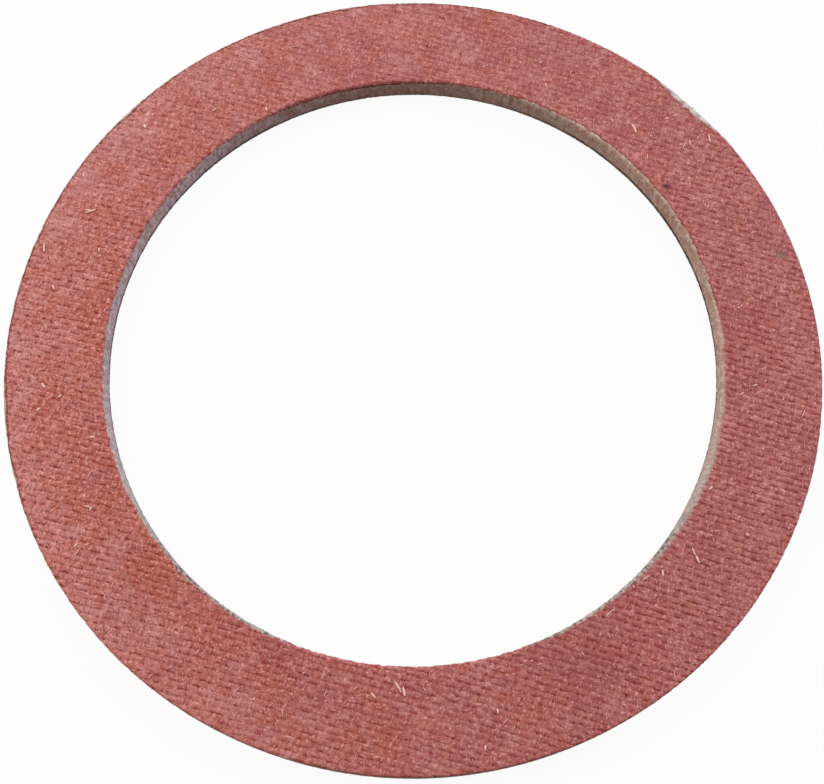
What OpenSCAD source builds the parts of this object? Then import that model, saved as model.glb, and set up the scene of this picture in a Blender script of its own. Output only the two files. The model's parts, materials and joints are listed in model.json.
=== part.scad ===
// Fibre gasket: a flat ring die-cut from pressed fibre sheet.
// The ring lies on its lower face, centred on the origin, with its axis along +Z.
// The knife came in through the upper face, so the upper edges are rolled and the lower ones crisp.
// A flake is missing from the upper edge of the rim.

/* [Ring] */
// Diameter over the rim
outer_d = 75; // [68:0.5:90]
// Diameter of the bore
bore_d = 56.6; // [40:0.1:62]
// Thickness of the sheet
thickness = 2.5; // [1.5:0.1:4]

/* [Cut edges] */
// Radius of the rolled edge where the upper face meets the bore
bore_roll = 0.25; // [0.1:0.05:0.5]
// Radius of the rolled edge where the upper face meets the rim
rim_roll = 0.15; // [0.1:0.05:0.25]
// Break on both lower edges
lower_break = 0.1; // [0.05:0.05:0.3]

/* [Flake] */
// Direction of the flake's middle, in degrees from +X towards +Y
flake_turn = 43.4; // [0:0.1:360]
// Length of the flake along the rim
flake_len = 8.2; // [6:0.1:10]
// Width of the flake across the upper face
flake_w = 0.55; // [0.4:0.05:1]
// Depth of the flake down the rim
flake_depth = 0.2; // [0.15:0.05:0.6]

/* [Hidden] */
$fn = 180;
outer_r = outer_d / 2;
bore_r = bore_d / 2;

// The flake's floor is a cone. In the plane of the upper face the cone is a circle that meets the
// rim at both ends of the flake and comes in by flake_w at its middle.
flake_half = flake_len / 2;
rim_sagitta = outer_r - sqrt(outer_r * outer_r - flake_half * flake_half);
scoop_sagitta = flake_w - rim_sagitta;
scoop_r = (flake_half * flake_half + scoop_sagitta * scoop_sagitta) / (2 * scoop_sagitta);
scoop_axis_r = outer_r - flake_w + scoop_r;

// Radius of the flake's cone at a depth below the upper face
function scoop_at(depth) = scoop_r - flake_w * depth / flake_depth;

// What a rolled upper edge takes off a square corner; side is 1 at the bore and -1 at the rim
module upper_roll(corner_r, roll, side) {
    translate([corner_r + side * roll, thickness - roll])
        difference() {
            translate([side > 0 ? -roll : 0, 0]) square(roll);
            circle(roll);
        }
}

// What the break takes off a lower corner
module lower_corner(corner_r) {
    translate([corner_r, 0]) rotate(45) square(lower_break * sqrt(2), center = true);
}

// Section of the ring, from the bore to the rim
module ring_section() {
    difference() {
        translate([bore_r, 0]) square([outer_r - bore_r, thickness]);
        upper_roll(bore_r, bore_roll, 1);
        upper_roll(outer_r, rim_roll, -1);
        lower_corner(bore_r);
        lower_corner(outer_r);
    }
}

// The cone that scoops the flake off the upper edge of the rim; it runs on by the flake's own depth
// past the upper face and past the foot of the flake
module flake_scoop() {
    foot_depth = 2 * flake_depth;
    rotate(flake_turn)
        translate([scoop_axis_r, 0, thickness - foot_depth])
            cylinder(h = foot_depth + flake_depth, r1 = scoop_at(foot_depth), r2 = scoop_at(-flake_depth));
}

module gasket_ring() {
    color([0.69, 0.41, 0.38])
        difference() {
            rotate_extrude() ring_section();
            flake_scoop();
        }
}

gasket_ring();
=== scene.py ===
# %% [markdown]
# A gasket of red pressed fibre: one flat ring, die-cut from a sheet. Three things make its look: the
# weave that the press cloth left in its face, the raw fibre that shows where the knife went through,
# and the loose pale fibres that lie on it. This lesson makes each of them in turn, round a frame that
# gives the ring its true size. All lengths are in metres, and MM turns millimetres into metres.

# %% Load the frame and read its sizes
import json
import math
import bpy
import numpy as np
from mathutils import Matrix, Vector


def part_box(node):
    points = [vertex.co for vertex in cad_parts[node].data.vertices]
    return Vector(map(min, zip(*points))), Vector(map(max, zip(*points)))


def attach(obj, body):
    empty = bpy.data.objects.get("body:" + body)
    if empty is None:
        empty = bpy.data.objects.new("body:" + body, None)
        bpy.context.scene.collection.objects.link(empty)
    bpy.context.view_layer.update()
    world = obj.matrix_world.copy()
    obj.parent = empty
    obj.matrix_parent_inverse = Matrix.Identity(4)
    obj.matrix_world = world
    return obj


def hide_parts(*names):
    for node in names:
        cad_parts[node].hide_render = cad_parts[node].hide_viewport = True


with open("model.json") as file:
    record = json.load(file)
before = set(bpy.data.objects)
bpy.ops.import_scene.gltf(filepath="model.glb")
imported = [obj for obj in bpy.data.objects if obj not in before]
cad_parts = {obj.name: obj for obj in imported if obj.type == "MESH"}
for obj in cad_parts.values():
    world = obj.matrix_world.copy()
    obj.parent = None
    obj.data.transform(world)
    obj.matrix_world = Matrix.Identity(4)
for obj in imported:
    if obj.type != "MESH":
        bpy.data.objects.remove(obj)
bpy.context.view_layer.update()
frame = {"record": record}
MM = 0.001
ring_low, ring_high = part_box("gasket_ring")
mounts = {mount["name"]: mount for mount in frame["record"]["mounts"]}
rim_r = mounts["rim"]["dims"]["r_mm"] * MM
bore_r = mounts["bore"]["dims"]["r_mm"] * MM
thick = ring_high.z
print(f"ring: rim {rim_r / MM:.2f} mm, bore {bore_r / MM:.2f} mm")
print(f"ring: from {ring_low.z / MM:.2f} to {thick / MM:.2f} mm above the floor")

# %% [markdown]
# The camera looks down on the ring from the near side, about 18 degrees off the axis. Its place and
# focal length come from the three circles that show: the rim and both edges of the bore. The picture's
# upright runs along +Y, so the sideways axis is the view crossed with +Y.

# %% Camera
picture_w = 824
focal_px = 1319.0
camera_at = Vector((0.60, -40.84, 116.65)) * MM
camera_aim = Vector((-0.04, -3.77, thick / MM)) * MM


def make_camera():
    """A camera at camera_at that looks at camera_aim, with +Y upright in the picture."""
    data = bpy.data.cameras.new("camera")
    data.sensor_width = 36.0
    data.lens = focal_px / picture_w * data.sensor_width
    data.clip_start = 5 * MM
    data.clip_end = 20.0
    camera = bpy.data.objects.new("camera", data)
    bpy.context.scene.collection.objects.link(camera)
    ahead = (camera_aim - camera_at).normalized()
    right = ahead.cross(Vector((0, 1, 0))).normalized()
    up = right.cross(ahead)
    turn = Matrix((right, up, -ahead)).transposed().to_4x4()
    camera.matrix_world = Matrix.Translation(camera_at) @ turn
    bpy.context.scene.camera = camera
    return camera


camera = make_camera()
print(f"camera: {camera.data.lens:.2f} mm lens, {(camera_aim - camera_at).length / MM:.1f} mm away")

# %% [markdown]
# Cut fibre is never even, so the shapes below need smooth noise. A texture could give it, but a mesh
# needs numbers: the sum of many cosines in random directions is smooth, has no seam round the ring and
# takes one matrix product for all the points.

# %% Smooth noise for points
def ripple(points, size, seed, waves=28):
    """Smooth noise of unit spread: the sum of cosines of random direction and phase, with lengths
    near size."""
    draw = np.random.default_rng(seed)
    axes = draw.normal(size=(waves, 3))
    axes /= np.linalg.norm(axes, axis=1, keepdims=True)
    lengths = size * draw.uniform(0.6, 1.5, waves)
    phases = draw.uniform(0, 2 * np.pi, waves)
    angles = points @ (2 * np.pi * axes / lengths[:, None]).T + phases
    return np.cos(angles).sum(-1) * math.sqrt(2 / waves)


def smooth_step(value, start, end):
    """0 before start, 1 after end, with an S-curve between them."""
    share = np.clip((value - start) / (end - start), 0, 1)
    return share * share * (3 - 2 * share)


# %% [markdown]
# The face carries the print of a plain-woven cloth. Its threads run at a slant to the picture, with the
# rows about 0.59 mm apart and the columns 0.90 mm apart, and the rows bow a little. Three cosines give
# its height: one for the rows, a weaker one for the columns, and the product of two half-speed cosines,
# which changes sign at every crossing. That last one is the over-and-under of a plain weave, and it
# staggers the marks like brickwork.

# %% The weave as a height
row_pitch = 0.587 * MM
column_pitch = 0.900 * MM
row_turn = math.radians(-16)
row_bend = 0.6
row_part = 0.22
column_part = 0.07
crossing_part = 0.18


def cloth_places(points):
    """Column and row numbers of each point: its place along the two thread directions, in pitches.
    The rows bow by row_bend x^2, with row_bend per metre, and noise shifts both a little, because
    cloth never lies quite straight."""
    along = points[:, 0] * math.cos(row_turn) + points[:, 1] * math.sin(row_turn)
    across = points[:, 1] * math.cos(row_turn) - points[:, 0] * math.sin(row_turn)
    across += row_bend * points[:, 0] ** 2
    flat = points * np.array([1.0, 1.0, 0.0])
    column = along / column_pitch + 0.15 * ripple(flat, 24 * MM, 11) + 0.09 * ripple(flat, 2.4 * MM, 12)
    row = across / row_pitch + 0.12 * ripple(flat, 30 * MM, 13) + 0.05 * ripple(flat, 2.0 * MM, 14)
    return column, row


def weave_height(column, row):
    """Height near 0 to 1: a half, plus cos(2 pi row) and cos(2 pi column) in their own parts, plus the
    crossing part times cos(pi row) cos(pi column)."""
    rows = row_part * np.cos(2 * np.pi * row)
    columns = column_part * np.cos(2 * np.pi * column)
    crossings = crossing_part * np.cos(np.pi * row) * np.cos(np.pi * column)
    return 0.5 + rows + columns + crossings


inch = 25.4 * MM
print(f"cloth: {inch / row_pitch:.0f} rows and {inch / column_pitch:.0f} columns to the inch")

# %% [markdown]
# The ring is its section carried round a circle. The knife came in through the upper face and rolled
# its edges over, so the section has a small arc at each upper corner and a crisp break at each lower
# one. The face gets most of the rows, because the weave needs a point every 0.16 mm, and the flat
# lower face needs almost none.

# %% Section of the ring
bore_roll = 0.25 * MM
rim_roll = 0.15 * MM
lower_break = 0.10 * MM
turns = 1320
face_rows = 54
roll_rows = 3
rim_wall_rows = 5
bore_wall_rows = 5
lower_rows = 2


def straight(start, end, rows):
    """Points from start up to, but not at, end."""
    share = np.arange(rows)[:, None] / rows
    return np.array(start) + (np.array(end) - np.array(start)) * share


def corner_arc(centre, radius, start, end, rows):
    """Points on a circle about centre, from one angle in degrees up to, but not at, the other."""
    angle = np.radians(start + (end - start) * np.arange(rows) / rows)
    return np.array(centre) + radius * np.stack([np.cos(angle), np.sin(angle)], 1)


section_stretches = {
    "face": straight((bore_r + bore_roll, thick), (rim_r - rim_roll, thick), face_rows),
    "rim_roll": corner_arc((rim_r - rim_roll, thick - rim_roll), rim_roll, 90, 0, roll_rows),
    "rim_wall": straight((rim_r, thick - rim_roll), (rim_r, lower_break), rim_wall_rows),
    "rim_break": straight((rim_r, lower_break), (rim_r - lower_break, 0), 1),
    "lower": straight((rim_r - lower_break, 0), (bore_r + lower_break, 0), lower_rows),
    "bore_break": straight((bore_r + lower_break, 0), (bore_r, lower_break), 1),
    "bore_wall": straight((bore_r, lower_break), (bore_r, thick - bore_roll), bore_wall_rows),
    "bore_roll": corner_arc((bore_r + bore_roll, thick - bore_roll), bore_roll, 180, 90, roll_rows),
}
section = np.concatenate(list(section_stretches.values()))
section_name = np.concatenate([np.full(len(rows), name) for name, rows in section_stretches.items()])
print(f"section: {len(section)} points, {2 * turns * len(section)} triangles round the ring")

# %% [markdown]
# The flake is a place on the rim where the dyed skin has come away. Its floor is a flat cone, so a
# point's depth below the face grows with how far it lies inside the cone's circle. Noise on that
# distance breaks the outline into the small steps that torn fibre has.

# %% The flake's floor
flake_turn = math.radians(43.4)
flake_half = 8.2 * MM / 2
flake_w = 0.55 * MM
flake_depth = 0.20 * MM
scoop_sagitta = flake_w - (rim_r - math.sqrt(rim_r ** 2 - flake_half ** 2))
scoop_r = (flake_half ** 2 + scoop_sagitta ** 2) / (2 * scoop_sagitta)
scoop_axis_r = rim_r - flake_w + scoop_r


def flake_reach(points):
    """How far each point lies inside the flake's torn outline; it is negative outside it."""
    axis = scoop_axis_r * np.array([math.cos(flake_turn), math.sin(flake_turn)])
    inside = scoop_r - np.hypot(points[:, 0] - axis[0], points[:, 1] - axis[1])
    torn = 0.07 * MM * ripple(points, 1.1 * MM, 38) + 0.035 * MM * ripple(points, 0.45 * MM, 39)
    return inside + torn * smooth_step(inside, -0.3 * MM, 0.1 * MM)


print(f"flake: a circle of {scoop_r / MM:.1f} mm radius that comes {flake_w / MM:.2f} mm over the rim")

# %% [markdown]
# Now the ring itself, an angle-by-section grid. Each point starts on the section and then moves three
# ways. First, the knife's pull: the bore's wall is streaked upright and its upper edge is a little
# ragged. The rim has half as much of both.

# %% Grid of the ring and the pull of the knife
angle = np.repeat(np.arange(turns) * 2 * np.pi / turns, len(section))
outward = np.stack([np.cos(angle), np.sin(angle), np.zeros_like(angle)], 1)
upward = np.array([0.0, 0.0, 1.0])
radius = np.tile(section[:, 0], turns)
height = np.tile(section[:, 1], turns)
where = np.tile(section_name, turns)
at_rest = outward * radius[:, None] + upward * height[:, None]
on_face = where == "face"
on_rim = np.isin(where, ["rim_roll", "rim_wall", "rim_break"])
on_bore = np.isin(where, ["bore_roll", "bore_wall", "bore_break"])
edge_reach = 0.22 * MM
near_bore = np.where(on_face, np.exp(-(radius - bore_r - bore_roll) / edge_reach), on_bore)
near_rim = np.where(on_face, np.exp(-(rim_r - rim_roll - radius) / edge_reach), on_rim)


streak_size = 0.55 * MM
streak_depth = 0.018 * MM
ragged_size = 0.80 * MM
ragged_depth = 0.050 * MM
ragged_reach = 1.1 * MM
height_squeeze = 0.12
rim_pull = 0.5


def knife_pull():
    """How far the cut wandered into the fibre at each point: streaks that are drawn out upright, and a
    ragged line towards the upper edge."""
    upright = at_rest * np.array([1.0, 1.0, height_squeeze])
    streaks = np.abs(ripple(upright, streak_size, 31)) * streak_depth
    ragged = np.abs(ripple(upright, ragged_size, 32)) * ragged_depth
    return streaks + ragged * smooth_step(height, thick - ragged_reach, thick)


pull = knife_pull()
cut_radius = radius + pull * near_bore - rim_pull * pull * near_rim
print(f"knife: up to {pull.max() / MM:.3f} mm off its circle")

# %% [markdown]
# Second, the cloth: the face sinks by the weave, most at the near right and less at the far side, the
# near side and the left. How grainy each place looks is kept as well, and the left is the grainiest.
# Third, the flake: the face drops to the cone's floor, and the rim's wall slides down under it, so that
# no face of the grid folds over.

# %% Press marks and the flake
cloth_depth = 0.038 * MM
column, row = cloth_places(at_rest)
far_share = np.clip(at_rest[:, 1] / rim_r, 0, 1)
left_share = np.clip(-at_rest[:, 0] / rim_r, 0, 1) ** 2
near_share = np.clip(-at_rest[:, 1] / rim_r, 0, 1) ** 4
near_right_share = np.clip((at_rest[:, 0] - at_rest[:, 1]) / (1.41 * rim_r), 0, 1) ** 2
print_share = 1.0 + 0.12 * ripple(at_rest, 5 * MM, 33)
print_share += 0.12 * near_right_share - 0.50 * far_share - 0.10 * left_share - 0.30 * near_share
grain_share = 0.93 - 0.10 * far_share + 0.42 * left_share
upper_roll = np.isin(where, ["rim_roll", "bore_roll"]) & (height > thick - 0.1 * MM)
face_share = np.where(on_face, 1 - 0.5 * np.maximum(near_bore, near_rim), 0.4 * upper_roll)
pressed = height - cloth_depth * print_share * face_share * np.clip(1 - weave_height(column, row), 0, 1)
inside_flake = np.where(on_face | on_rim, flake_reach(outward * cut_radius[:, None]), -1.0)
drop = np.clip(inside_flake, 0, flake_w) * flake_depth / flake_w
drop_share = np.where(on_face, 1.0, np.clip((height - lower_break) / (thick - lower_break), 0, 1))
points = outward * cut_radius[:, None] + upward * (pressed - drop * drop_share)[:, None]
print(f"flake: {drop.max() / MM:.2f} mm deep, on {np.count_nonzero(drop)} points")

# %% [markdown]
# The material has to know where the dye ends. The bare value is a half along that line and grows into
# the cut and into the flake. The line is given by the way along the section from the flat face, over the
# roll and down the wall. At the bore it wanders: it lies on the face where the edge frayed, at the upper
# right, and where it is worn, at the lower right; on the roll where the cut was clean, at the left; and
# below the roll on the far side and the near side. At the rim it lies at the foot of the roll, or at its
# top where the edge is rubbed, from the far side round to the left.

# %% Where the fibre is bare
dye_run = 0.3 * MM
flake_run = 0.15 * MM
rim_line = 0.24 * MM


def bell(turn, middle, reach):
    """1 at the middle, fading out both ways over the reach, all in degrees round the ring."""
    return np.exp(-((turn - middle) / reach) ** 2)


def way_past_face(past_edge, roll, roll_name, on_side):
    """Way along the section from an edge of the flat face: over that side's roll and down its wall. It
    is negative on the face and on the rest of the section."""
    over_roll = roll * np.arctan2(past_edge, height - thick + roll)
    down_wall = roll * np.pi / 2 + thick - roll - height
    return np.select([on_face, where == roll_name, on_side], [past_edge, over_roll, down_wall], -rim_r)


def bare_value():
    """A half on the line where the dye ends, rising by one for each dye_run into bare fibre. Round the
    flake it rises by one over the last flake_run outside the outline."""
    turn = np.degrees(angle)
    frayed = 0.08 * MM * bell(turn, 42, 28)
    clean = 0.31 * MM * bell(turn, 152, 40)
    rolled = 0.50 * MM * bell(turn, 98, 26)
    covered = 0.50 * MM * (smooth_step(turn, 243, 253) - smooth_step(turn, 286, 298))
    from_worn = (turn - 334 + 180) % 360 - 180
    worn = 0.25 * MM * bell(from_worn, 0, 16)
    wander = 0.04 * MM * ripple(at_rest * np.array([1.0, 1.0, 0.0]), 1.5 * MM, 35)
    past_bore = way_past_face(bore_r + bore_roll - radius, bore_roll, "bore_roll", on_bore)
    at_bore = (past_bore - clean - rolled - covered + frayed + worn + wander) / dye_run
    rubbed = 0.21 * MM * (smooth_step(turn, 55, 85) - smooth_step(turn, 195, 215))
    rubbed += 0.04 * MM * ripple(at_rest, 6 * MM, 36)
    past_rim = way_past_face(radius - rim_r + rim_roll, rim_roll, "rim_roll", on_rim)
    at_rim = (past_rim - rim_line + rubbed + wander) / dye_run
    at_flake = (inside_flake + flake_run) / flake_run
    return 0.5 + np.clip(np.maximum(np.maximum(at_bore, at_rim), at_flake), -1, 1)


def cut_edge():
    """How strong the painted shade along the dye's edge is, how softly the dye ends, and 1 on the bore's
    half of the ring. At the bore the painted shade runs from the right to the far side, and at the rim
    from the upper right to the left. The dye ends softest at the bore's lower right."""
    turn = np.degrees(angle)
    past_far = smooth_step(turn, 106, 126)
    near_right = smooth_step(turn, 296, 322)
    edge_shade = smooth_step(turn, 3, 14) * (1 - past_far)
    soft = np.maximum(near_right, 1 - smooth_step(turn, 0, 9))
    soft = np.maximum(soft, 0.15 * past_far * (1 - near_right))
    at_bore_side = radius < (bore_r + rim_r) / 2
    rim_edge_shade = 1.25 * smooth_step(turn, 20, 60) * (1 - smooth_step(turn, 195, 215))
    return np.stack([np.where(at_bore_side, edge_shade, rim_edge_shade), soft * at_bore_side, at_bore_side], 1)


bareness = bare_value()
print(f"bare fibre: {np.mean(bareness > 0.5):.0%} of the points")

# %% [markdown]
# The grid closes on itself both ways, so the ring is one skin with no seam. Its points keep the values
# that the material reads: how bare they are, whether they lie on the lower side or in the flake, how the
# cut edge looks, how grainy the face is, and their place in the cloth with the strength of its print.

# %% The ring's mesh
def grid_quads(rings, rows):
    """Quads of a grid that closes on itself both ways, with the outer side facing out."""
    ring = np.arange(rings)[:, None]
    row = np.arange(rows)[None, :]
    here = ring * rows + row
    beside = ring * rows + (row + 1) % rows
    after = (ring + 1) % rings * rows + row
    across = (ring + 1) % rings * rows + (row + 1) % rows
    return np.stack([here, beside, across, after], -1).reshape(-1, 4)


def mesh_piece(name, points, faces):
    """A mesh object at the origin from arrays of points and faces."""
    mesh = bpy.data.meshes.new(name)
    mesh.from_pydata(points.tolist(), [], faces)
    mesh.update()
    piece = bpy.data.objects.new(name, mesh)
    bpy.context.scene.collection.objects.link(piece)
    return piece


def keep_values(piece, values):
    """Writes arrays to the mesh as point attributes that a material can read."""
    for label, array in values.items():
        kind, key = ("FLOAT", "value") if array.ndim == 1 else ("FLOAT_VECTOR", "vector")
        layer = piece.data.attributes.new(label, kind, "POINT")
        layer.data.foreach_set(key, array.astype(np.float32).ravel())


def signed_volume(points, quads):
    """Volume inside closed quads; it is negative if they face inwards."""
    a, b, c, d = (points[quads[:, k]] for k in range(4))
    return float(((np.cross(a, b) * c).sum(1) + (np.cross(a, c) * d).sum(1)).sum() / 6)


flaked = smooth_step(inside_flake, -0.20 * MM, -0.10 * MM)
flaked = flaked * smooth_step(height, thick - 0.6 * MM, thick)
values = {
    "bare": bareness,
    "under": (where == "lower") * 1.0,
    "flaked": flaked,
    "cut_edge": cut_edge(),
    "grain": grain_share,
    "cloth": np.stack([column, row, print_share], 1),
}
quads = grid_quads(turns, len(section))
ring = mesh_piece("fibre_ring", points, quads.tolist())
keep_values(ring, values)
ring.data.shade_smooth()
ring.data.set_sharp_from_angle(angle=math.radians(60))
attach(ring, "root")
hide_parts("gasket_ring")
print(f"ring: {len(quads)} quads, {signed_volume(points, quads) / MM ** 3:.0f} cubic mm")

# %% [markdown]
# Loose fibres lie on the face and stand out of the cut edges. Each is a thin spindle that follows a
# bent path: root, plus direction times length, plus a bend that grows with the square of the way along.
# Four sides and five rings are enough for something a hair thick, and all the fibres of a kind make
# one mesh.

# %% Loose fibres as spindles
fibre_rings = 5
fibre_sides = 4


def spindle_points(root, heading, bend, length, width):
    """Points of all spindles: path(t) = root + heading*length*t + bend*length*t*t, with a cross-section
    of radius width*sqrt(1 - (2t - 1)^2) and a pole at each end."""
    share = (np.arange(fibre_rings) + 1) / (fibre_rings + 1)
    along = np.concatenate([[0.0], share, [1.0]])
    path = (root[:, None] + heading[:, None] * (length[:, None] * along)[..., None]
            + bend[:, None] * (length[:, None] * along ** 2)[..., None])
    side = np.cross(heading, np.array([0.0, 0.0, 1.0]))
    side /= np.maximum(np.linalg.norm(side, axis=1, keepdims=True), 1e-9)
    over = np.cross(side, heading)
    angle = np.arange(fibre_sides) * 2 * np.pi / fibre_sides
    girth = width[:, None] * np.sqrt(1 - (2 * share - 1) ** 2)
    spoke = side[:, None] * np.cos(angle)[None, :, None] + over[:, None] * np.sin(angle)[None, :, None]
    body = path[:, 1:-1, None] + girth[:, :, None, None] * spoke[:, None]
    return np.concatenate([path[:, :1], body.reshape(len(root), -1, 3), path[:, -1:]], 1)


def spindle_faces(count):
    """Faces of one spindle, repeated for each: quads between rings, and a fan of triangles at each
    pole."""
    last = fibre_rings * fibre_sides + 1
    ring = np.arange(fibre_rings - 1)[:, None]
    side = np.arange(fibre_sides)[None, :]
    beside = (side + 1) % fibre_sides
    low = 1 + ring * fibre_sides
    high = low + fibre_sides
    quads = np.stack([low + side, low + beside, high + beside, high + side], -1)
    top = last - fibre_sides
    start = [[0, 1 + (k + 1) % fibre_sides, 1 + k] for k in range(fibre_sides)]
    end = [[last, top + k, top + (k + 1) % fibre_sides] for k in range(fibre_sides)]
    single = quads.reshape(-1, 4).tolist() + start + end
    stride = last + 1
    return [[stride * k + index for index in face] for k in range(count) for face in single]


def make_fibres(name, root, heading, bend, length, width, tint):
    """One mesh of spindles, with each one's tint from 0, dyed, to 1, bare."""
    points = spindle_points(root, heading, bend, length, width)
    faces = spindle_faces(len(root))
    piece = mesh_piece(name, points.reshape(-1, 3), faces)
    keep_values(piece, {"tint": np.repeat(tint, points.shape[1])})
    piece.data.shade_smooth()
    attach(piece, "root")
    print(f"{name}: {len(root)} fibres, {len(faces)} faces")
    return piece


# %% [markdown]
# A few fibres on the face are large enough to know one by one: they are listed, each with its x
# and y, its length, its heading in degrees and its half-width, with lengths in millimetres. The rest are
# strewn by a seeded draw. About a fifth of these are hairs, long and thin, and the others are short bits.
# Most lie along the cloth's columns, as fibres that the cloth combed.

# %% Fibres on the face
known_fibres = [
    (-30.7, 14.4, 1.1, 16, 0.11),
    (-30.8, 14.5, 0.8, 155, 0.08),
    (-34.8, 10.6, 1.0, 78, 0.09),
    (-26.1, 23.5, 0.5, 126, 0.09),
    (-29.6, 10.4, 0.5, 94, 0.07),
    (-33.6, 6.6, 0.6, 121, 0.08),
    (-19.4, 25.3, 0.6, 40, 0.07),
    (-14.3, 25.4, 0.5, 99, 0.08),
    (21.6, 23.1, 1.2, 96, 0.12),
    (28.8, 22.0, 1.0, 92, 0.08),
    (24.8, 24.2, 0.4, 5, 0.09),
    (25.6, 24.5, 0.3, 15, 0.09),
    (26.9, 21.5, 0.7, 115, 0.07),
    (26.3, 21.3, 0.9, 70, 0.05),
    (-33.7, -3.1, 0.7, 123, 0.11),
    (-32.1, -4.1, 0.5, 34, 0.08),
    (-34.0, -5.4, 0.5, 57, 0.11),
    (-28.9, -8.0, 0.5, 175, 0.08),
    (-29.6, -17.9, 0.6, 48, 0.08),
    (-28.6, -17.8, 0.5, 23, 0.07),
    (-28.8, -14.4, 0.8, 160, 0.07),
    (-28.5, -14.6, 0.5, 60, 0.07),
    (-0.7, -30.5, 0.9, 90, 0.11),
    (-1.2, -30.1, 1.3, 124, 0.08),
    (-3.3, -30.8, 0.7, 127, 0.08),
    (6.1, -35.1, 0.5, 98, 0.08),
    (7.2, -32.1, 0.5, 108, 0.07),
    (24.9, -19.2, 0.9, 114, 0.09),
    (24.6, -18.5, 0.8, 116, 0.07),
    (21.8, -20.4, 0.7, 87, 0.08),
    (26.5, -12.8, 0.5, 49, 0.08),
    (29.4, -17.0, 0.4, 141, 0.08),
    (31.2, -3.2, 0.5, 14, 0.08),
    (29.9, -4.0, 0.5, 32, 0.07),
]
strewn_count = 1300
hair_share = 0.22
combed_share = 0.6


def lying_fibres():
    """Roots, headings, bends, lengths, widths and tints of the fibres that lie on the face."""
    draw = np.random.default_rng(41)
    known = np.array(known_fibres)
    angle = draw.uniform(0, 2 * np.pi, strewn_count)
    radius = np.sqrt(draw.uniform((bore_r + 0.5 * MM) ** 2, (rim_r - 0.4 * MM) ** 2, strewn_count))
    middle_x = np.concatenate([known[:, 0] * MM, radius * np.cos(angle)])
    middle_y = np.concatenate([known[:, 1] * MM, radius * np.sin(angle)])
    hair = draw.random(strewn_count) < hair_share
    combed = draw.normal(math.degrees(row_turn) + 90, np.where(hair, 14, 25), strewn_count)
    loose = draw.uniform(0, 180, strewn_count)
    strewn_turn = np.where(hair | (draw.random(strewn_count) < combed_share), combed, loose)
    turn = np.radians(np.concatenate([known[:, 3], strewn_turn]))
    short_length = np.clip(draw.lognormal(math.log(0.28), 0.5, strewn_count), 0.12, 1.2)
    strewn_length = np.where(hair, draw.uniform(0.6, 1.5, strewn_count), short_length)
    length = np.concatenate([known[:, 2], strewn_length]) * MM
    hair_width = draw.uniform(0.014, 0.025, strewn_count)
    short_width = draw.uniform(0.022, 0.055, strewn_count)
    strewn_width = np.where(hair, hair_width, short_width)
    width = np.concatenate([known[:, 4], strewn_width]) * MM
    strewn_tint = draw.uniform(0.0, np.where(hair, 0.5, 0.9), strewn_count) ** 1.5
    tint = np.concatenate([draw.uniform(0.8, 1.0, len(known)), strewn_tint])
    heading = np.stack([np.cos(turn), np.sin(turn), np.zeros_like(turn)], 1)
    middle = np.stack([middle_x, middle_y, thick + 0.2 * width], 1)
    sideways = np.stack([-np.sin(turn), np.cos(turn), np.zeros_like(turn)], 1)
    curl = np.where(np.arange(len(turn)) < len(known), 0.10, 0.22)
    bend = sideways * (curl * draw.normal(size=len(turn)))[:, None]
    root = middle - heading * length[:, None] / 2 - bend * length[:, None] / 4
    return root, heading, bend, length, width, tint


face_fibres = make_fibres("face_fibres", *lying_fibres())

# %% [markdown]
# Where the knife parted the sheet, short ends stand out of the edges. They leave the wall close to its
# own direction round the ring, so that they fray the outline and don't look like a brush.

# %% Frayed ends along the cuts
frayed_count = 260


def frayed_ends():
    """Roots, headings, bends, lengths, widths and tints of the ends along the bore and the rim."""
    draw = np.random.default_rng(43)
    angle = draw.uniform(0, 2 * np.pi, frayed_count)
    at_bore = draw.random(frayed_count) < 0.75
    side = np.where(at_bore, -1.0, 1.0)
    radius = np.where(at_bore, bore_r + 0.10 * MM, rim_r - 0.08 * MM)
    level = np.where(draw.random(frayed_count) < 0.7, thick - 0.10 * MM, 0.15 * MM)
    out = np.stack([np.cos(angle), np.sin(angle), np.zeros_like(angle)], 1)
    round_way = np.stack([-np.sin(angle), np.cos(angle), np.zeros_like(angle)], 1)
    root = out * radius[:, None] + np.array([0, 0, 1.0]) * level[:, None]
    way = draw.choice([-1.0, 1.0], frayed_count) * draw.uniform(0.5, 1.0, frayed_count)
    lean = side * draw.uniform(0.10, 0.55, frayed_count)
    rise = draw.normal(0, 0.15, frayed_count)
    heading = round_way * way[:, None] + out * lean[:, None] + np.array([0, 0, 1.0]) * rise[:, None]
    heading /= np.linalg.norm(heading, axis=1, keepdims=True)
    bend = out * (side * draw.normal(-0.1, 0.25, frayed_count))[:, None]
    length = draw.uniform(0.12, 0.38, frayed_count) * MM
    width = draw.uniform(0.010, 0.024, frayed_count) * MM
    tint = draw.uniform(0.1, 0.9, frayed_count)
    return root, heading, bend, length, width, tint


edge_fibres = make_fibres("edge_fibres", *frayed_ends())

# %% [markdown]
# Shader nodes are easier to read with a few helpers. Each makes one node, sets a plain number on a
# socket or links another node's output to it, and hands back its own output.

# %% Helpers for shader nodes
def srgb(red, green, blue):
    """Linear colour of a colour given as the 0 to 255 values seen on a screen."""
    share = np.array([red, green, blue]) / 255
    linear = np.where(share <= 0.04045, share / 12.92, ((share + 0.055) / 1.055) ** 2.4)
    return (*linear.tolist(), 1.0)


def feed(tree, term, socket):
    """Links an output to a socket, or sets the socket to a plain value."""
    if isinstance(term, bpy.types.NodeSocket):
        tree.links.new(term, socket)
    else:
        socket.default_value = term


def maths(tree, operation, *terms):
    """One Math node on one, two or three terms."""
    node = tree.nodes.new("ShaderNodeMath")
    node.operation = operation
    for term, socket in zip(terms, node.inputs):
        feed(tree, term, socket)
    return node.outputs[0]


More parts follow.
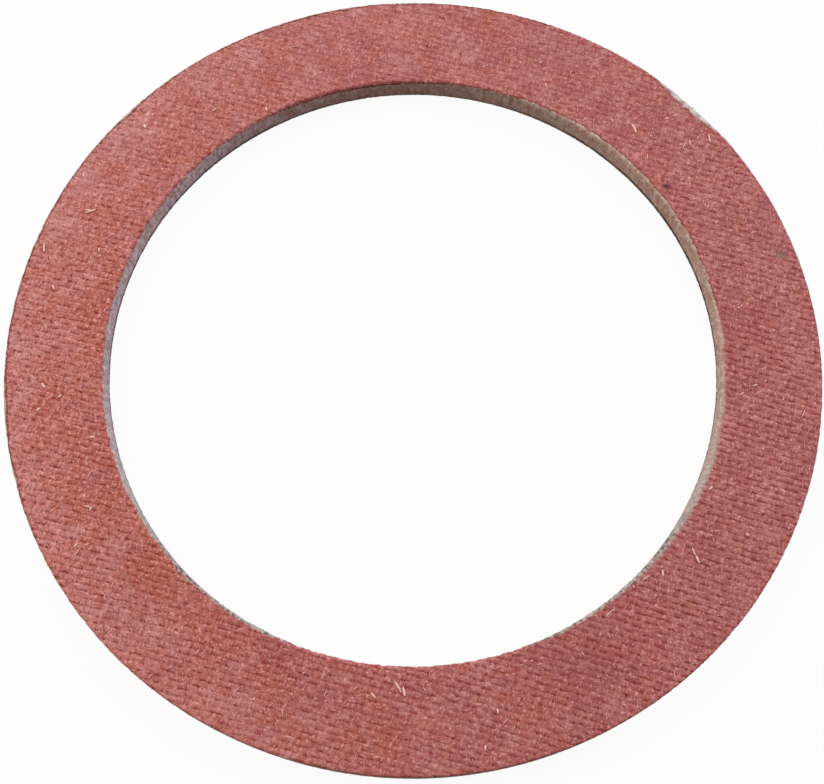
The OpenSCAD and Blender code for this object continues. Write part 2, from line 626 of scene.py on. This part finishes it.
def weighted(tree, rest, *pairs):
    """The rest, plus each value times its weight."""
    total = rest
    for value, weight in pairs:
        total = maths(tree, "MULTIPLY_ADD", value, weight, total)
    return total


def stretch(tree, vector, x, y, z):
    """A vector with each part multiplied by its own number."""
    node = tree.nodes.new("ShaderNodeVectorMath")
    node.operation = "MULTIPLY"
    feed(tree, vector, node.inputs[0])
    node.inputs[1].default_value = (x, y, z)
    return node.outputs[0]


def noise(tree, vector, scale, detail=2.0, roughness=0.5):
    """Value of a Noise Texture, near 0 to 1. The scale counts blotches to a unit of the vector, so to a
    metre of the ring or to a pitch of the cloth."""
    node = tree.nodes.new("ShaderNodeTexNoise")
    feed(tree, vector, node.inputs["Vector"])
    node.inputs["Scale"].default_value = scale
    node.inputs["Detail"].default_value = detail
    node.inputs["Roughness"].default_value = roughness
    return node.outputs[0]


def fade_between(tree, value, start, end, kind="SMOOTHSTEP"):
    """0 at start and 1 at end, with an S-curve between them, or a straight line for the kind LINEAR."""
    node = tree.nodes.new("ShaderNodeMapRange")
    node.interpolation_type = kind
    feed(tree, value, node.inputs["Value"])
    feed(tree, start, node.inputs["From Min"])
    feed(tree, end, node.inputs["From Max"])
    return node.outputs[0]


def colour_mix(tree, share, first, second):
    """The first colour at share 0 and the second at share 1."""
    node = tree.nodes.new("ShaderNodeMix")
    node.data_type = "RGBA"
    feed(tree, share, node.inputs[0])
    feed(tree, first, node.inputs[6])
    feed(tree, second, node.inputs[7])
    return node.outputs[2]


def value_mix(tree, share, first, second):
    """The first value at share 0 and the second at share 1."""
    node = tree.nodes.new("ShaderNodeMix")
    feed(tree, share, node.inputs[0])
    feed(tree, first, node.inputs[2])
    feed(tree, second, node.inputs[3])
    return node.outputs[0]


def shader_mix(tree, share, first, second):
    """The first shader at share 0 and the second at share 1."""
    node = tree.nodes.new("ShaderNodeMixShader")
    feed(tree, share, node.inputs["Fac"])
    tree.links.new(first, node.inputs[1])
    tree.links.new(second, node.inputs[2])
    return node.outputs[0]


def parts_of(tree, vector):
    """The X, Y and Z outputs of a vector."""
    node = tree.nodes.new("ShaderNodeSeparateXYZ")
    feed(tree, vector, node.inputs[0])
    return node.outputs


def attribute(tree, label):
    """The node that reads a point attribute of the mesh."""
    node = tree.nodes.new("ShaderNodeAttribute")
    node.attribute_name = label
    return node


def object_place(tree):
    """Object coordinates, which are the frame's own, because every piece sits at the origin."""
    return tree.nodes.new("ShaderNodeTexCoord").outputs["Object"]


# %% [markdown]
# Two effects are node groups. The first repeats the weave's height from the cloth places that the mesh
# carries and adds the dark dashes between its rows, so colour and bump follow the grooves that the mesh
# has; in the colour the dashes are painted shade. The second is the grain of matted fibre: long soft
# streaks with finer ones in them, along whichever way its vector is stretched. The ring uses it for
# threads and for the cut wall, and the loose fibres for their own mottling.

# %% Node groups
# Dashes are painted groove shade; dash_lean darkens one side of each crossing, as if lit from the far
# side.
dash_power = 9.0
dash_strength = 0.58
dash_lean = 0.28
dash_break = 0.18
column_shade = 0.06


def new_group(name, inputs, outputs):
    """An empty shader group with named sockets, and its two ends."""
    tree = bpy.data.node_groups.new(name, "ShaderNodeTree")
    for label, kind in inputs:
        tree.interface.new_socket(label, in_out="INPUT", socket_type=kind)
    for label, kind in outputs:
        tree.interface.new_socket(label, in_out="OUTPUT", socket_type=kind)
    return tree, tree.nodes.new("NodeGroupInput"), tree.nodes.new("NodeGroupOutput")


def use_group(tree, group, **terms):
    """Places a group in a material and feeds its inputs by name."""
    node = tree.nodes.new("ShaderNodeGroup")
    node.node_tree = group
    for label, term in terms.items():
        feed(tree, term, node.inputs[label])
    return node.outputs


def cloth_group():
    """Column and Row in. Height out by the formula of weave_height, and Dash, the groove between two
    rows, which the material paints as shade: |sin(pi row)| to a power, times a strength that is never
    below zero. The strength is less where a column thread crosses and more on one side of it, as shade
    from the far side would be, and the columns shade it a little."""
    sockets = [("Column", "NodeSocketFloat"), ("Row", "NodeSocketFloat")]
    results = [("Height", "NodeSocketFloat"), ("Dash", "NodeSocketFloat")]
    tree, start, end = new_group("cloth_marks", sockets, results)

    def wave(kind, label, speed):
        """Sine or cosine of a place in the cloth, with speed half turns to the pitch."""
        return maths(tree, kind, maths(tree, "MULTIPLY", start.outputs[label], speed * math.pi))

    rows = wave("COSINE", "Row", 2)
    columns = wave("COSINE", "Column", 2)
    crossings = maths(tree, "MULTIPLY", wave("COSINE", "Row", 1), wave("COSINE", "Column", 1))
    height = weighted(tree, 0.5, (rows, row_part), (columns, column_part), (crossings, crossing_part))
    between_rows = wave("SINE", "Row", 1)
    narrow = maths(tree, "POWER", maths(tree, "ABSOLUTE", between_rows), dash_power)
    one_side = maths(tree, "MULTIPLY", between_rows, wave("COSINE", "Column", 1))
    strength = weighted(tree, dash_strength, (one_side, -dash_lean), (columns, -dash_break))
    dash = maths(tree, "MULTIPLY", narrow, maths(tree, "MAXIMUM", strength, 0.0))
    dash = weighted(tree, dash, (columns, -column_shade))
    tree.links.new(height, end.inputs["Height"])
    tree.links.new(dash, end.inputs["Dash"])
    return tree


def grain_group():
    """Vector in, Grain out: broad noise with fine noise on it, spread to about 0 to 1."""
    sockets = [("Vector", "NodeSocketVector")]
    results = [("Grain", "NodeSocketFloat")]
    tree, start, end = new_group("fibre_grain", sockets, results)
    broad = noise(tree, start.outputs["Vector"], 1.0, 2.0, 0.55)
    fine = noise(tree, start.outputs["Vector"], 2.7, 1.0, 0.5)
    both = value_mix(tree, 0.4, broad, fine)
    grain = fade_between(tree, both, 0.25, 0.75)
    tree.links.new(grain, end.inputs["Grain"])
    return tree


cloth_marks = cloth_group()
fibre_grain = grain_group()
print("groups:", [group.name for group in bpy.data.node_groups])

# %% [markdown]
# The ring is one piece, so it has one material with two looks in it, the dyed face and the bare cut
# wall. First the dye, a dull brick red that drifts to crimson in patches and towards the right. Dust
# lies on it as a bloom, most of it towards the left rim. Neither has a pattern, so noise of a few sizes
# gives them their drift.

# %% Dye and dust
def new_material(name):
    """A new material with its node tree and its Principled shader."""
    material = bpy.data.materials.new(name)
    material.use_nodes = True
    tree = material.node_tree
    return material, tree, tree.nodes["Principled BSDF"]


def dyed_hue(tree, place):
    """Slow drift of the dye: brick to crimson in patches and towards the right."""
    to_right = maths(tree, "MULTIPLY", parts_of(tree, place)[0], 0.11 / rim_r)
    patches = value_mix(tree, 0.50, noise(tree, place, 220.0, 2.0), noise(tree, place, 900.0, 1.0))
    patches = value_mix(tree, 0.20, patches, noise(tree, place, 2600.0, 1.0))
    crimson_share = fade_between(tree, maths(tree, "ADD", patches, to_right), 0.28, 0.72)
    return colour_mix(tree, crimson_share, srgb(181, 108, 90), srgb(163, 97, 100))


def dust_share(tree, place):
    """How dusty the face is: most towards the left rim, some on the far side, and in fine drifts."""
    spot = parts_of(tree, place)
    length = tree.nodes.new("ShaderNodeVectorMath")
    length.operation = "LENGTH"
    tree.links.new(stretch(tree, place, 1, 1, 0), length.inputs[0])
    outer = fade_between(tree, length.outputs["Value"], 30 * MM, rim_r)
    left = fade_between(tree, spot[0], 12 * MM, -32 * MM)
    far = fade_between(tree, spot[1], -12 * MM, 30 * MM)
    outer_left = maths(tree, "MULTIPLY", outer, left)
    drifts = value_mix(tree, 0.5, noise(tree, place, 330.0, 3.0, 0.6), noise(tree, place, 1500.0, 2.0))
    share = weighted(tree, -1.05, (outer_left, 0.27), (far, 0.07), (drifts, 2.3))
    return fade_between(tree, share, -0.1, 0.9)


# %% [markdown]
# On the dye lies the grain: threads of both ways, short bits, pale flecks, and the dark dashes between
# the rows, which are painted shade in the grooves. They could be mixed in as colours one by one, but a
# single tone is easier to balance: it is a half where the dye shows as it is, less where the face is
# darker and more where it is paler.

# %% Grain of the face
grain_middle = 0.415
dash_middle = 0.13
face_tone = 0.440


def face_grain(tree, place, cloth, print_share, marks):
    """Tone of the face: threads of both ways, bits and flecks, less the dashes, which are painted shade
    in the grooves. The other results are the threads alone, and the dashes, which fade out in places and
    which the upright threads break."""
    row_threads = use_group(tree, fibre_grain, Vector=stretch(tree, cloth, 1.1, 3.6, 0.0))["Grain"]
    column_threads = use_group(tree, fibre_grain, Vector=stretch(tree, cloth, 3.4, 0.65, 0.0))["Grain"]
    threads = value_mix(tree, 0.5, row_threads, column_threads)
    bits = fade_between(tree, noise(tree, place, 4400.0, 2.0, 0.6), 0.34, 0.78)
    flecks = fade_between(tree, noise(tree, place, 4200.0, 1.0), 0.57, 0.74)
    worn = fade_between(tree, noise(tree, place, 1400.0, 1.0), 0.22, 0.52)
    specks = weighted(tree, -grain_middle, (bits, 0.28), (flecks, 0.46))
    grain = weighted(tree, specks, (row_threads, 0.28), (column_threads, 0.38))
    crossed = maths(tree, "MULTIPLY", worn, weighted(tree, 1.4, (column_threads, -0.8)))
    # Painted shade: the dashes darken the grooves between the rows; worn only fades them out in places.
    dashes = maths(tree, "MULTIPLY", marks["Dash"], crossed)
    groove_shade = maths(tree, "MULTIPLY", maths(tree, "SUBTRACT", dashes, dash_middle), print_share)
    grain_share = attribute(tree, "grain").outputs["Fac"]
    tone = weighted(tree, face_tone, (grain, grain_share), (groove_shade, -0.44))
    return tone, threads, dashes


def toned(tree, tone, hue):
    """A hue made darker below a tone of a half and paler above it."""
    face = colour_mix(tree, fade_between(tree, tone, 0.0, 0.5, "LINEAR"), srgb(130, 47, 45), hue)
    paler = maths(tree, "MULTIPLY", fade_between(tree, tone, 0.5, 1.0, "LINEAR"), 0.9)
    return colour_mix(tree, paler, face, srgb(226, 165, 161))


# %% [markdown]
# Some marks on the face have places of their own: deeper red patches, pale and grey smudges, a dark
# stain and a few dark specks. Each is listed with its x and y and its reach, in millimetres,
# its colour as seen on a screen and its strength. Noise on the distance from its middle gives it a
# ragged edge.

# %% Stains and smudges
stains = [
    (14.6, -26.0, 7.00, (146, 66, 60), 0.25),
    (29.6, 0.5, 5.00, (148, 68, 58), 0.18),
    (29.0, -4.2, 2.60, (130, 50, 46), 0.22),
    (14.4, -32.8, 2.60, (128, 48, 44), 0.24),
    (-11.4, -26.8, 2.80, (142, 48, 34), 0.28),
    (-24.0, -20.0, 3.00, (150, 60, 46), 0.20),
    (-25.9, 24.9, 0.30, (222, 184, 180), 0.80),
    (-26.0, 24.3, 0.30, (222, 184, 180), 0.85),
    (-26.1, 23.6, 0.28, (232, 198, 192), 0.85),
    (-25.1, 23.9, 0.24, (222, 180, 176), 0.70),
    (-25.5, 22.9, 0.24, (222, 180, 176), 0.70),
    (24.3, 16.9, 0.58, (92, 46, 56), 0.90),
    (34.4, 9.8, 0.60, (138, 116, 108), 0.60),
    (35.0, 9.7, 0.55, (138, 116, 108), 0.60),
    (36.4, 9.1, 0.35, (138, 116, 108), 0.45),
    (18.1, -30.8, 0.16, (68, 22, 26), 0.90),
    (16.5, -24.2, 0.18, (84, 20, 16), 0.85),
    (29.0, -10.6, 0.14, (90, 30, 30), 0.75),
    (32.9, -8.3, 0.14, (86, 28, 28), 0.75),
]


def stain(tree, place, x, y, reach):
    """1 at a point of the face given in millimetres, fading out raggedly over its reach."""
    node = tree.nodes.new("ShaderNodeVectorMath")
    node.operation = "DISTANCE"
    tree.links.new(place, node.inputs[0])
    node.inputs[1].default_value = (x * MM, y * MM, thick)
    ragged = maths(tree, "SUBTRACT", noise(tree, place, 2200.0, 1.0), 0.5)
    distance = weighted(tree, node.outputs["Value"], (ragged, 1.4 * reach * MM))
    return fade_between(tree, distance, reach * MM, 0.3 * reach * MM)


def stained(tree, place, face):
    """The face's colour with every stain laid on it."""
    for x, y, reach, colour, strength in stains:
        share = maths(tree, "MULTIPLY", stain(tree, place, x, y, reach), strength)
        face = colour_mix(tree, share, face, srgb(*colour))
    return face


print(f"stains: {len(stains)} on the face")

# %% [markdown]
# The cut wall is bare fibre, and it differs round the ring. It is tan at the rim and at the bore's
# right, mauve at the bore's left, and grey with dark upright streaks on the bore's near side. At the
# bore these tints are painted light: warm on the right wall, cool on the left and plain on the near
# wall. Brown patches lie on all but that near side, and towards the far side their brown is painted
# warm shade. A painted shadow draws a black line along the foot of the bore's wall, at the left and the
# right, and torn fibre in the flake is pale.

# %% Bare fibre
def foot_shadow_share(tree, place, side, far, level):
    """How strong the painted shadow along the foot of the bore's wall is. The line stands a little taller
    at the far right.
    """
    off_middle = fade_between(tree, maths(tree, "ABSOLUTE", side), 2 * MM, 18 * MM)
    right_side = maths(tree, "MAXIMUM", side, 0.0)
    far_right = maths(tree, "MULTIPLY", right_side, fade_between(tree, far, -2 * MM, 12 * MM))
    foot = weighted(tree, level, (far_right, -0.006))
    # Painted shadow along the foot of the wall, broken up by noise.
    foot_shadow = fade_between(tree, noise(tree, place, 600.0, 2.0), 0.24, 0.45)
    foot_shadow = maths(tree, "MULTIPLY", foot_shadow, off_middle)
    foot_shadow = maths(tree, "MULTIPLY", foot_shadow, fade_between(tree, foot, 0.62 * MM, 0.30 * MM))
    return maths(tree, "MULTIPLY", foot_shadow, 0.92)


def bare_colour(tree, place, wall_grain, at_bore):
    """Undyed fibre by its place: tan, mauve or grey, then streaks, brown patches, the flake and the
    painted foot shadow. At the bore the three tints and the far side's brown are painted light. At the
    rim the side and far places count as zero, so the rim is tan and has no painted foot shadow."""
    side, far, level = parts_of(tree, place)
    side = maths(tree, "MULTIPLY", side, at_bore)
    far = maths(tree, "MULTIPLY", far, at_bore)
    # Painted light: the bore's right wall is tinted warm, its left wall cool and its near wall plain
    # grey.
    tan = colour_mix(tree, wall_grain, srgb(162, 142, 130), srgb(220, 210, 200))
    mauve = colour_mix(tree, wall_grain, srgb(136, 120, 122), srgb(226, 215, 216))
    grey = colour_mix(tree, wall_grain, srgb(150, 146, 137), srgb(206, 204, 197))
    bare = colour_mix(tree, fade_between(tree, side, -4 * MM, -22 * MM), tan, mauve)
    bare = colour_mix(tree, fade_between(tree, far, 0.0, -18 * MM), bare, grey)
    streaks = fade_between(tree, noise(tree, stretch(tree, place, 1, 1, 0.3), 2900.0, 2.0), 0.43, 0.63)
    streaks = maths(tree, "MULTIPLY", streaks, fade_between(tree, far, -13.5 * MM, -18.5 * MM))
    bare = colour_mix(tree, streaks, bare, srgb(106, 105, 99))
    # Painted shade in part: the brown patches are kept to the far side, and tint its shade warm.
    brown = fade_between(tree, noise(tree, place, 1500.0, 2.0, 0.6), 0.42, 0.66)
    brown = maths(tree, "MULTIPLY", brown, fade_between(tree, far, -20 * MM, 4 * MM))
    bare = colour_mix(tree, maths(tree, "MULTIPLY", brown, 0.6), bare, srgb(172, 124, 104))
    crumbs = fade_between(tree, noise(tree, place, 1500.0, 2.0), 0.34, 0.62)
    broken = colour_mix(tree, crumbs, srgb(150, 148, 140), srgb(206, 205, 200))
    bare = colour_mix(tree, attribute(tree, "flaked").outputs["Fac"], bare, broken)
    return colour_mix(tree, foot_shadow_share(tree, place, side, far, level), bare, srgb(54, 48, 43))


# %% [markdown]
# Now the two looks meet. The bare value that the mesh keeps says where one gives way to the other, and
# noise makes that edge ragged. Along parts of it a dark line of painted shade lies on the dye. Fine
# relief is a bump: the cloth's ridges with the dashes cut in and threads on top, and the knife's grain
# on the wall.

# %% Material of the ring
def fine_relief(tree, marks, dashes, threads, print_share, wall_grain, bare):
    """Normals of the bump. The mesh of the lower side is flat, so the bump has all of its ridges there
    and only a part of them on the upper face."""
    under = attribute(tree, "under").outputs["Fac"]
    ridges = maths(tree, "MULTIPLY", marks["Height"], weighted(tree, 0.4, (under, 0.6)))
    grooved = weighted(tree, ridges, (dashes, -0.16))
    printed = maths(tree, "MULTIPLY", grooved, print_share)
    face_height = weighted(tree, printed, (threads, 0.22))
    wall_height = maths(tree, "MULTIPLY", wall_grain, 0.25)
    bump = tree.nodes.new("ShaderNodeBump")
    bump.inputs["Distance"].default_value = 0.10 * MM
    tree.links.new(value_mix(tree, bare, face_height, wall_height), bump.inputs["Height"])
    return bump.outputs["Normal"]


def ring_material():
    """Dyed woven face and bare cut wall in one material."""
    material, tree, shader = new_material("pressed_fibre")
    place = object_place(tree)
    cloth = attribute(tree, "cloth").outputs["Vector"]
    column, row, print_share = parts_of(tree, cloth)
    shake = maths(tree, "SUBTRACT", noise(tree, place, 1300.0, 1.0), 0.5)
    waver = maths(tree, "SUBTRACT", noise(tree, cloth, 1.1, 1.0), 0.5)
    column = weighted(tree, column, (shake, 0.7))
    row = weighted(tree, row, (waver, 0.15))
    marks = use_group(tree, cloth_marks, Column=column, Row=row)
    tone, threads, dashes = face_grain(tree, place, cloth, print_share, marks)
    hue = colour_mix(tree, dust_share(tree, place), dyed_hue(tree, place), srgb(203, 149, 147))
    face = stained(tree, place, toned(tree, tone, hue))

    wall_grain = use_group(tree, fibre_grain, Vector=stretch(tree, place, 2600, 2600, 800))["Grain"]
    edge_shade, soft, at_bore = parts_of(tree, attribute(tree, "cut_edge").outputs["Vector"])
    wall = bare_colour(tree, place, wall_grain, at_bore)
    ragged = maths(tree, "MULTIPLY", maths(tree, "SUBTRACT", noise(tree, place, 3600.0, 2.0), 0.5), 1.6)
    bare = maths(tree, "ADD", attribute(tree, "bare").outputs["Fac"], ragged)
    # Painted shade: a dark line along the dye's edge, as strong as the cut_edge values ask.
    edge_shade_strength = maths(tree, "MULTIPLY", edge_shade, 0.75)
    torn = maths(tree, "MULTIPLY", fade_between(tree, bare, -0.20, 0.32), edge_shade_strength)
    face = colour_mix(tree, torn, face, srgb(104, 42, 40))
    soft_start = weighted(tree, 0.38, (soft, -0.85))
    soft_end = weighted(tree, 0.62, (soft, 0.85))
    bare = fade_between(tree, bare, soft_start, soft_end)

    relief = fine_relief(tree, marks, dashes, threads, print_share, wall_grain, bare)
    tree.links.new(colour_mix(tree, bare, face, wall), shader.inputs["Base Color"])
    tree.links.new(value_mix(tree, threads, 0.96, 0.84), shader.inputs["Roughness"])
    tree.links.new(relief, shader.inputs["Normal"])
    shader.inputs["Specular IOR Level"].default_value = 0.2
    shader.inputs["Sheen Weight"].default_value = 0.08
    return material


ring.data.materials.append(ring_material())
print(f"{ring.name}: {len(ring.data.materials[0].node_tree.nodes)} nodes in its material")

# %% [markdown]
# Loose fibres took less dye than the sheet. A tint for each runs from dusty pink to bare cream, and the
# same grain as the ring's keeps them from being one flat colour.

# %% Material of the loose fibres
def fibre_material():
    """Pink to cream fibre, by each one's own tint."""
    material, tree, shader = new_material("loose_fibre")
    tint = attribute(tree, "tint").outputs["Fac"]
    spread = stretch(tree, object_place(tree), 3000, 3000, 3000)
    grain = use_group(tree, fibre_grain, Vector=spread)["Grain"]
    colour = colour_mix(tree, tint, srgb(216, 150, 143), srgb(252, 228, 221))
    shaded = colour_mix(tree, maths(tree, "MULTIPLY", grain, 0.25), colour, srgb(205, 142, 132))
    tree.links.new(shaded, shader.inputs["Base Color"])
    shader.inputs["Roughness"].default_value = 0.8
    shader.inputs["Specular IOR Level"].default_value = 0.25
    return material


pale_fibre = fibre_material()
face_fibres.data.materials.append(pale_fibre)
edge_fibres.data.materials.append(pale_fibre)
print(f"{pale_fibre.name}: on {face_fibres.name} and {edge_fibres.name}")

# %% [markdown]
# The ring lies on a plain white floor. To the camera the floor is nearly its own white light, with a
# share of real shading left in so the ring keeps its shadow; for all other light it is a plain grey
# surface that bounces a little back up. Three broad lamps stand low beyond the ring: a plain one on the
# far side, a warm one on the left and a cool one on the right. So the near wall of the bore is bright,
# the far wall is in shade, and the face turns from warm to cool across the picture.

# %% Floor, world and lamps
floor_half = 1.5
shadow_share = 0.06
bounce_grey = 0.30
shaded_white = 0.95


def make_floor():
    """A flat square at the ring's foot."""
    corners = np.array([[-1, -1, 0], [1, -1, 0], [1, 1, 0], [-1, 1, 0]]) * floor_half
    floor = mesh_piece("floor", corners, [[0, 1, 2, 3]])
    material = bpy.data.materials.new("floor_white")
    material.use_nodes = True
    tree = material.node_tree
    tree.nodes.remove(tree.nodes["Principled BSDF"])
    matt = tree.nodes.new("ShaderNodeBsdfDiffuse")
    matt.inputs["Color"].default_value = (bounce_grey, bounce_grey, bounce_grey, 1)
    shaded = tree.nodes.new("ShaderNodeBsdfDiffuse")
    shaded.inputs["Color"].default_value = (shaded_white, shaded_white, shaded_white, 1)
    glow = tree.nodes.new("ShaderNodeEmission")
    seen = shader_mix(tree, shadow_share, glow.outputs[0], shaded.outputs[0])
    rays = tree.nodes.new("ShaderNodeLightPath")
    direct = maths(tree, "MAXIMUM", rays.outputs["Is Camera Ray"], rays.outputs["Is Glossy Ray"])
    direct = maths(tree, "MAXIMUM", direct, rays.outputs["Is Transmission Ray"])
    surface = shader_mix(tree, direct, matt.outputs[0], seen)
    tree.links.new(surface, tree.nodes["Material Output"].inputs["Surface"])
    floor.data.materials.append(material)


def make_world():
    """Soft warm light from all round, and plain white where the camera sees past the floor."""
    world = bpy.data.worlds.new("studio")
    world.use_nodes = True
    bpy.context.scene.world = world
    tree = world.node_tree
    soft = tree.nodes["Background"]
    soft.inputs["Color"].default_value = (1.0, 0.66, 0.60, 1)
    soft.inputs["Strength"].default_value = 0.26
    white = tree.nodes.new("ShaderNodeBackground")
    white.inputs["Color"].default_value = (1.0, 1.0, 1.0, 1)
    rays = tree.nodes.new("ShaderNodeLightPath")
    surface = shader_mix(tree, rays.outputs["Is Camera Ray"], soft.outputs[0], white.outputs[0])
    tree.links.new(surface, tree.nodes["World Output"].inputs["Surface"])


def make_lamp(name, turn, rise, size, level, colour):
    """A square area lamp, half a metre from the ring and facing it, at a turn from +X and a rise from
    the floor in degrees. At level 1 a surface square to it renders in the colour it is written in."""
    away = 0.5
    data = bpy.data.lights.new(name, "AREA")
    data.size = size
    data.energy = level * math.pi ** 2 * away ** 2
    data.color = colour
    lamp = bpy.data.objects.new(name, data)
    bpy.context.scene.collection.objects.link(lamp)
    flat = away * math.cos(math.radians(rise))
    lamp.location = (
        flat * math.cos(math.radians(turn)),
        flat * math.sin(math.radians(turn)),
        away * math.sin(math.radians(rise)),
    )
    lamp.rotation_euler = (-lamp.location).to_track_quat("-Z", "Y").to_euler()


make_floor()
make_world()
make_lamp("far_lamp", 100, 30, 0.30, 0.42, (0.98, 0.99, 1.0))
make_lamp("left_lamp", 167, 36, 0.30, 0.62, (1.0, 0.80, 0.72))
make_lamp("right_lamp", 24, 22, 0.30, 0.70, (0.86, 0.88, 1.0))
bpy.context.scene.view_settings.view_transform = "Standard"
print("lamps:", [lamp.name for lamp in bpy.data.lights])
